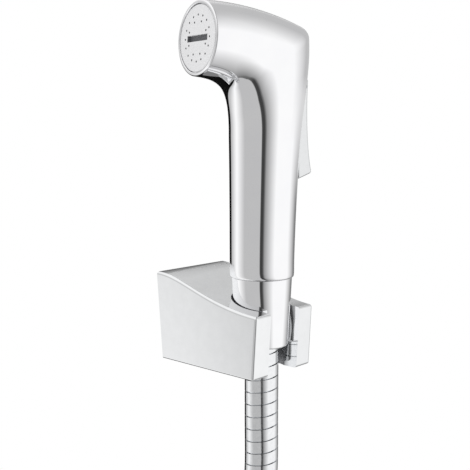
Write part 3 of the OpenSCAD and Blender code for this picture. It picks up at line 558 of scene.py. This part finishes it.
def hose_tree():
    """Winds a strip round a line: each row of the grid is one turn of a helix, and the rows that open a turn
    lie deeper, as the groove between two turns. The last row of each end closes it."""
    tree = bpy.data.node_groups.new("wound_strip_hose", "GeometryNodeTree")
    tree.is_modifier = True
    tree_input(tree, "Line", "NodeSocketGeometry", None)
    for name, kind, value in (("Diameter", "NodeSocketFloat", HOSE_D * MM),
            ("Pitch", "NodeSocketFloat", HOSE_PITCH * MM), ("Groove depth", "NodeSocketFloat", HOSE_GROOVE * MM),
            ("Rows in a turn", "NodeSocketInt", len(HOSE_ROWS)), ("Sides", "NodeSocketInt", 40)):
        tree_input(tree, name, kind, value)
    tree.interface.new_socket("Hose", in_out="OUTPUT", socket_type="NodeSocketGeometry")
    given = add(tree, "NodeGroupInput").outputs
    full = add(tree, "GeometryNodeCurveLength", [(given["Line"], 0)])
    turns = add(tree, "ShaderNodeMath", [(full.outputs[0], 0), (given["Pitch"], 1)], operation="DIVIDE")
    whole = add(tree, "ShaderNodeMath", [(turns.outputs[0], 0)], operation="CEIL")
    wound = add(tree, "ShaderNodeMath", [(whole.outputs[0], 0)], operation="ADD", in1=1.0)
    rows = add(tree, "ShaderNodeMath", [(wound.outputs[0], 0), (given["Rows in a turn"], 1)], operation="MULTIPLY_ADD",
        in2=3.0)
    across = add(tree, "ShaderNodeMath", [(given["Sides"], 0)], operation="ADD", in1=1.0)
    grid = add(tree, "GeometryNodeMeshGrid", [(rows.outputs[0], "Vertices X"), (across.outputs[0], "Vertices Y")])
    index = add(tree, "GeometryNodeInputIndex")
    row_share = add(tree, "ShaderNodeMath", [(index.outputs[0], 0), (across.outputs[0], 1)], operation="DIVIDE")
    row = add(tree, "ShaderNodeMath", [(row_share.outputs[0], 0)], operation="FLOOR")
    side = add(tree, "ShaderNodeMath", [(index.outputs[0], 0), (across.outputs[0], 1)], operation="MODULO")
    turn = add(tree, "ShaderNodeMath", [(side.outputs[0], 0), (given["Sides"], 1)], operation="DIVIDE")
    from_end = add(tree, "ShaderNodeMath", [(row.outputs[0], 0)], operation="SUBTRACT", in1=1.0)
    winding = add(tree, "ShaderNodeMath", [(from_end.outputs[0], 0), (given["Rows in a turn"], 1)], operation="DIVIDE")
    started = add(tree, "ShaderNodeMath", [(winding.outputs[0], 0)], operation="FLOOR")
    in_turn = add(tree, "ShaderNodeMath", [(winding.outputs[0], 0)], operation="FRACT")
    place = add(tree, "ShaderNodeFloatCurve", [(in_turn.outputs[0], "Value")])
    points = place.mapping.curves[0].points
    for k, share in enumerate(HOSE_ROWS[1:], 1):
        points.new(k / len(HOSE_ROWS), share)
    for point in points:
        point.handle_type = "VECTOR"
    place.mapping.update()
    shifted = add(tree, "ShaderNodeMath", [(started.outputs[0], 0), (place.outputs[0], 1)], operation="ADD")
    helix = add(tree, "ShaderNodeMath", [(shifted.outputs[0], 0), (turn.outputs[0], 1)], operation="ADD")
    ahead = add(tree, "ShaderNodeMath", [(helix.outputs[0], 0)], operation="SUBTRACT", in1=1.0)
    run = add(tree, "ShaderNodeMath", [(ahead.outputs[0], 0), (given["Pitch"], 1)], operation="MULTIPLY")
    on_line = add(tree, "ShaderNodeClamp", [(run.outputs[0], "Value"), (full.outputs[0], "Max")], in1=0.0)
    # The groove: the first two rows of a turn, away from the cut ends of the hose
    in_groove = add(tree, "ShaderNodeMath", [(in_turn.outputs[0], 0)], operation="LESS_THAN",
        in1=1.5 / len(HOSE_ROWS))
    off_start = add(tree, "ShaderNodeMath", [(run.outputs[0], 0)], operation="GREATER_THAN", in1=0.0)
    off_end = add(tree, "ShaderNodeMath", [(run.outputs[0], 0), (full.outputs[0], 1)], operation="LESS_THAN")
    off_ends = add(tree, "ShaderNodeMath", [(off_start.outputs[0], 0), (off_end.outputs[0], 1)], operation="MULTIPLY")
    pressed = add(tree, "ShaderNodeMath", [(in_groove.outputs[0], 0), (off_ends.outputs[0], 1)], operation="MULTIPLY")
    depth = add(tree, "ShaderNodeMath", [(pressed.outputs[0], 0), (given["Groove depth"], 1)], operation="MULTIPLY")
    half = add(tree, "ShaderNodeMath", [(given["Diameter"], 0)], operation="DIVIDE", in1=2.0)
    wall = add(tree, "ShaderNodeMath", [(half.outputs[0], 0), (depth.outputs[0], 1)], operation="SUBTRACT")
    last = add(tree, "ShaderNodeMath", [(rows.outputs[0], 0)], operation="SUBTRACT", in1=1.5)
    after_first = add(tree, "ShaderNodeMath", [(row.outputs[0], 0)], operation="GREATER_THAN", in1=0.5)
    before_last = add(tree, "ShaderNodeMath", [(row.outputs[0], 0), (last.outputs[0], 1)], operation="LESS_THAN")
    open_row = add(tree, "ShaderNodeMath", [(after_first.outputs[0], 0), (before_last.outputs[0], 1)],
        operation="MULTIPLY")
    radius = add(tree, "ShaderNodeMath", [(wall.outputs[0], 0), (open_row.outputs[0], 1)], operation="MULTIPLY")
    line = add(tree, "GeometryNodeSampleCurve", [(given["Line"], "Curves"), (on_line.outputs[0], "Length")],
        mode="LENGTH")
    aside = add(tree, "ShaderNodeVectorMath", [(line.outputs["Tangent"], 0), (line.outputs["Normal"], 1)],
        operation="CROSS_PRODUCT")
    angle = add(tree, "ShaderNodeMath", [(turn.outputs[0], 0)], operation="MULTIPLY", in1=2 * math.pi)
    arms = []
    for wave, arm in (("COSINE", line.outputs["Normal"]), ("SINE", aside.outputs[0])):
        share = add(tree, "ShaderNodeMath", [(angle.outputs[0], 0)], operation=wave)
        reach = add(tree, "ShaderNodeMath", [(share.outputs[0], 0), (radius.outputs[0], 1)], operation="MULTIPLY")
        arms.append(add(tree, "ShaderNodeVectorMath", [(arm, 0), (reach.outputs[0], "Scale")], operation="SCALE"))
    out_of = add(tree, "ShaderNodeVectorMath", [(line.outputs["Position"], 0), (arms[0].outputs[0], 1)], operation="ADD")
    point = add(tree, "ShaderNodeVectorMath", [(out_of.outputs[0], 0), (arms[1].outputs[0], 1)], operation="ADD")
    wound_grid = add(tree, "GeometryNodeSetPosition", [(grid.outputs["Mesh"], "Geometry"), (point.outputs[0], "Position")])
    closed = add(tree, "GeometryNodeMergeByDistance", [(wound_grid.outputs[0], "Geometry")])
    closed.inputs["Distance"].default_value = 2e-6
    outwards = add(tree, "GeometryNodeFlipFaces", [(closed.outputs[0], 0)])
    flat = add(tree, "GeometryNodeRealizeInstances", [(outwards.outputs[0], 0)])
    done = add(tree, "GeometryNodeSetMaterial", [(flat.outputs[0], "Geometry")])
    done.inputs["Material"].default_value = STRIP_CHROME
    add(tree, "NodeGroupOutput", [(done.outputs[0], 0)])
    return tree


def hose_line(name, points):
    curve = bpy.data.curves.new(name, "CURVE")
    curve.dimensions = "3D"
    spline = curve.splines.new("POLY")
    spline.points.add(len(points) - 1)
    for p, q in zip(spline.points, points):
        p.co = (*(q * MM), 1)
    return new_object(name, curve)


def smooth_line(points, step=1.0):
    """A Catmull-Rom line through the points, with a point every step mm."""
    dense = []
    for k in range(len(points) - 1):
        a, b, c, d = points[max(k - 1, 0)], points[k], points[k + 1], points[min(k + 2, len(points) - 1)]
        n = max(1, round((c - b).length / step))
        for s in range(n):
            t = s / n
            dense.append(0.5 * (2 * b + (c - a) * t + (2 * a - 5 * b + 4 * c - d) * t * t
                + (3 * b - a - 3 * c + d) * t ** 3))
    return dense + [points[-1]]


path = smooth_line(hose_path())
line = hose_line("hose_line", path)
winding = line.modifiers.new("winding", "NODES")
winding.node_group = hose_tree()
graph = bpy.context.evaluated_depsgraph_get()
hose = new_object("ribbed_hose", bpy.data.meshes.new_from_object(line.evaluated_get(graph), depsgraph=graph))
bpy.data.objects.remove(line)
smooth(hose, 30)
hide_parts("hose", "hose_coil", "hose_tail")
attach(hose, "root")


# Tie round the coil's strands
TIE_T, TIE_W, TIE_GAP = 1.2, 10.0, 0.3


def strands_outline(grow, steps=20):
    half, r = COIL_TURNS * COIL_STEP / 2, HOSE_D / 2 + grow
    ends = [(side, math.pi * (k / steps) + (0 if side > 0 else math.pi)) for side in (1, -1) for k in range(steps + 1)]
    return [(r * math.cos(a), side * half + r * math.sin(a)) for side, a in ends]


outer, inner = strands_outline(TIE_GAP + TIE_T), strands_outline(TIE_GAP)
tie_place = Matrix.Translation((-COIL_R * MM, (AXIS_Y - COIL_TURNS * COIL_STEP / 2) * MM, COIL_Z * MM))
edge_in = 0.35
tie_rings = [(outer, -TIE_W / 2 + edge_in), (outer, TIE_W / 2 - edge_in),
    (strands_outline(TIE_GAP + TIE_T - edge_in), TIE_W / 2), (inner, TIE_W / 2), (inner, -TIE_W / 2),
    (strands_outline(TIE_GAP + TIE_T - edge_in), -TIE_W / 2)]
tie = mesh_piece("coil_strap", [(x, y, z) for ring, z in tie_rings for x, y in ring],
    ring_faces(len(tie_rings), len(outer), True), tie_place, NYLON)
smooth(tie, 40)
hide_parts("coil_tie")
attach(tie, "root")


# Hexagon nut at the supply end
HEX_W, HEX_TOP_Z, HEX_FOOT_Z, HEX_FLOOR_Z = 24.0, -241.0, -256.5, -243.5
SUPPLY_R = 9.32
SUPPLY = Matrix.Translation((-COIL_R * MM, (AXIS_Y - COIL_TURNS * COIL_STEP) * MM, 0))
corner = HEX_W / 2 / math.cos(math.radians(30))
hex_nut = skin("supply_nut", [[(corner * math.cos(math.radians(60 * i)), corner * math.sin(math.radians(60 * i)), z)
    for i in range(6)] for z in (HEX_FOOT_Z, HEX_TOP_Z)], SUPPLY, CHROME)
chamfer = lathe("chamfer", [(corner - 1.2, HEX_FOOT_Z - 0.01), (30, HEX_FOOT_Z - 0.01), (30, HEX_TOP_Z + 0.01),
    (corner - 1.2, HEX_TOP_Z + 0.01), (corner - 0.4, HEX_TOP_Z - 0.8), (corner - 0.4, HEX_FOOT_Z + 0.8)], SUPPLY, None)
bevel(hex_nut, 0.5, 3, 30)
carve(hex_nut, chamfer, rod("hose_way", HEX_FOOT_Z - 1, HEX_TOP_Z + 1, 7.4, SUPPLY),
    rod("thread", HEX_FOOT_Z - 1, -246, SUPPLY_R, SUPPLY), rod("relief", -247.5, HEX_FLOOR_Z, SUPPLY_R + 0.5, SUPPLY))
smooth(hex_nut, 25)
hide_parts("end_nut")
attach(hex_nut, "supply_nut")


# Finishes of the CAD nodes that stay: the parts inside the hand spray, the nuts and the bracket
FINISHES = {
    WHITE_ABS: ["wall_plate"],
    ACETAL: ["water_core"],
    EPDM: ["face_seal", "core_seal", "valve_washer", "stem_seal", "cone_washer", "end_washer"],
    BRASS: ["valve_stem", "valve_gland", "valve_plug", "cone_ferrule", "end_ferrule"],
    STEEL: ["lock_screw", "trigger_pin", "valve_spring"],
}
for finish, names in FINISHES.items():
    for name in names:
        node = NODES[name]
        node.data.materials.clear()
        node.data.materials.append(finish)


# Floor: a small pale disc below the hanging hose
FLOOR_Z, FLOOR_R = -290.0, 450.0
floor_paint = finish_material("matt_white_studio_floor", "#F2F2F2", 0.0, 0.8, 20.0, 0.05, tint="#EFEFEF")
floor = rod("studio_floor", FLOOR_Z - 4, FLOOR_Z, FLOOR_R, AXIS)
floor.data.materials.append(floor_paint)
floor.visible_glossy = False


# Studio: a white room with a few plain cards round the object, as for a photograph of chrome. The white is
# what the camera sees, and the white between the cards is what shows in the mirrors. The cards are seen only
# in mirrors. A bearing is in degrees round the object, 0 towards the camera, -90 to its left and 90 to its
# right. A rise is in degrees above the horizon.
BLACK, DARK, GREY, LIGHT = "#101010", "#404040", "#808080", "#C0C0C0"
CARD_FAR, CARD_GAP = 12.0, 0.5
CARD_STEP = 1.5
# A leaning card hangs straight down to just below the horizon, and from there it runs to the right
LEAN_START, LEAN = -9.0, 0.6
# Each card's shade, bearings, rises, how far its left, right, low and high edges fade, and whether it leans
CARDS = {
    # On the left: two light grey cards with the white room between them, and one over both
    "left_card": (LIGHT, (-100, 0), (-90, 8), (33, 0, 0, 6), True),
    "far_left_card": (LIGHT, (-230, -104), (-90, 8), (0, 28, 0, 6), True),
    "upper_left_card": (LIGHT, (-180, 0), (2, 48), (0, 0, 6, 40), False),
    # On the right: grey that fades out to the white room, and a dark edge where it begins
    "right_card": (GREY, (-11, 42), (-90, 90), (3, 42, 0, 0), True),
    "dark_card": (DARK, (-11, 6), (-90, 90), (3, 7, 0, 0), True),
    "low_card": (GREY, (-11, 180), (-90, -28), (0, 0, 0, 60), True),
    "high_card": (GREY, (-11, 180), (22, 90), (3, 0, 68, 0), False),
    # Behind: a screen on the right, a black card on the left and a dark one straight behind
    "low_screen": (GREY, (100, 180), (-90, 0), (45, 0, 0, 6), False),
    "high_screen": (LIGHT, (85, 180), (-4, 90), (45, 20, 6, 0), False),
    "black_card": (BLACK, (-230, -138), (-90, 4), (0, 3, 0, 3), True),
    "back_card": (DARK, (165, 195), (2, 38), (9, 9, 3, 32), False),
}


def studio_world():
    world = bpy.data.worlds.new("studio")
    bpy.context.scene.world = world
    world.use_nodes = True
    tree = world.node_tree
    tree.nodes.clear()
    rays = add(tree, "ShaderNodeLightPath").outputs
    straight = add(tree, "ShaderNodeMath", [(rays["Is Camera Ray"], 0), (rays["Is Transmission Ray"], 1)],
        operation="MAXIMUM")
    seen = add(tree, "ShaderNodeMath", [(straight.outputs[0], 0), (rays["Is Glossy Ray"], 1)],
        operation="MAXIMUM")
    white = add(tree, "ShaderNodeBackground", in0=(1, 1, 1, 1), in1=1.0)
    light = add(tree, "ShaderNodeBackground", in0=colour("#F4F4F5"), in1=0.98)
    shown = add(tree, "ShaderNodeMixShader", [(seen.outputs[0], 0), (light.outputs[0], 1),
        (white.outputs[0], 2)])
    add(tree, "ShaderNodeOutputWorld", [(shown.outputs[0], "Surface")])


def card_paint(shade):
    """Paint of one shade, which thins out where the card's cover does."""
    mat = bpy.data.materials.new("studio_card_paint")
    mat.use_nodes = True
    tree = mat.node_tree
    tree.nodes.clear()
    shine = add(tree, "ShaderNodeEmission", in0=colour(shade), in1=1.0)
    nothing = add(tree, "ShaderNodeBsdfTransparent")
    cover = add(tree, "ShaderNodeAttribute", attribute_name="cover").outputs["Fac"]
    edged = add(tree, "ShaderNodeMixShader", [(cover, 0), (nothing.outputs[0], 1), (shine.outputs[0], 2)])
    add(tree, "ShaderNodeOutputMaterial", [(edged.outputs[0], "Surface")])
    return mat


def studio_card(name, far, shade, bearings, rises, soft, leans):
    """A card bent round the object at a distance, with soft edges."""
    columns, rows = (int((high - low) / CARD_STEP) + 2 for low, high in (bearings, rises))
    bearing, rise = np.meshgrid(np.linspace(*bearings, columns), np.linspace(*rises, rows))
    cover = np.ones_like(bearing)
    for reach, width in zip((bearing - bearings[0], bearings[1] - bearing, rise - rises[0], rises[1] - rise), soft):
        if width:
            cover *= np.clip(reach / width, 0, 1)
    if leans:
        bearing = np.clip(bearing + LEAN * np.clip(LEAN_START - rise, 0, None), -180, 180)
    turn, up = np.radians(bearing - 90 + CAMERA_AZIMUTH), np.radians(rise)
    points = far * np.stack([np.cos(turn) * np.cos(up), np.sin(turn) * np.cos(up), np.sin(up)], axis=-1)
    corners = [r * columns + c for r in range(rows - 1) for c in range(columns - 1)]
    mesh = bpy.data.meshes.new(name)
    mesh.from_pydata(points.reshape(-1, 3).tolist(), [], [(k, k + 1, k + columns + 1, k + columns) for k in corners])
    mesh.attributes.new("cover", "FLOAT", "POINT").data.foreach_set("value", cover.ravel())
    mesh.materials.append(card_paint(shade))
    card = new_object(name, mesh)
    for way in ("camera", "diffuse", "transmission", "volume_scatter", "shadow"):
        setattr(card, "visible_" + way, False)


def look_at(obj, place, target):
    obj.location = place
    obj.rotation_mode = "QUATERNION"
    obj.rotation_quaternion = (Vector(place) - Vector(target)).to_track_quat("Z", "Y")


studio_world()
for k, (name, card) in enumerate(CARDS.items()):
    studio_card(name, CARD_FAR - k * CARD_GAP, *card)
azimuth, pitch = math.radians(CAMERA_AZIMUTH), math.radians(CAMERA_PITCH)
back = Vector((math.sin(azimuth) * math.cos(pitch), -math.cos(azimuth) * math.cos(pitch), math.sin(pitch)))
right = Vector((math.cos(azimuth), math.sin(azimuth), 0))
target = (Vector((0, AXIS_Y, CAMERA_HEIGHT)) + CAMERA_ASIDE * right) * MM

soft_box = bpy.data.lights.new("soft_box", "AREA")
soft_box.shape, soft_box.size, soft_box.energy = "DISK", 0.9, 5.0
lamp = new_object("soft_box", soft_box)
look_at(lamp, (-0.35, -0.9, 1.0), (0, AXIS_Y * MM, 0.03))
lamp.visible_glossy = False

lens = bpy.data.cameras.new("camera")
lens.lens, lens.sensor_width, lens.clip_start = CAMERA_LENS, 36.0, 0.01
camera = new_object("camera", lens)
look_at(camera, target + back * CAMERA_DISTANCE * MM, target)
scene = bpy.context.scene
scene.camera = camera
scene.view_settings.view_transform = "Standard"
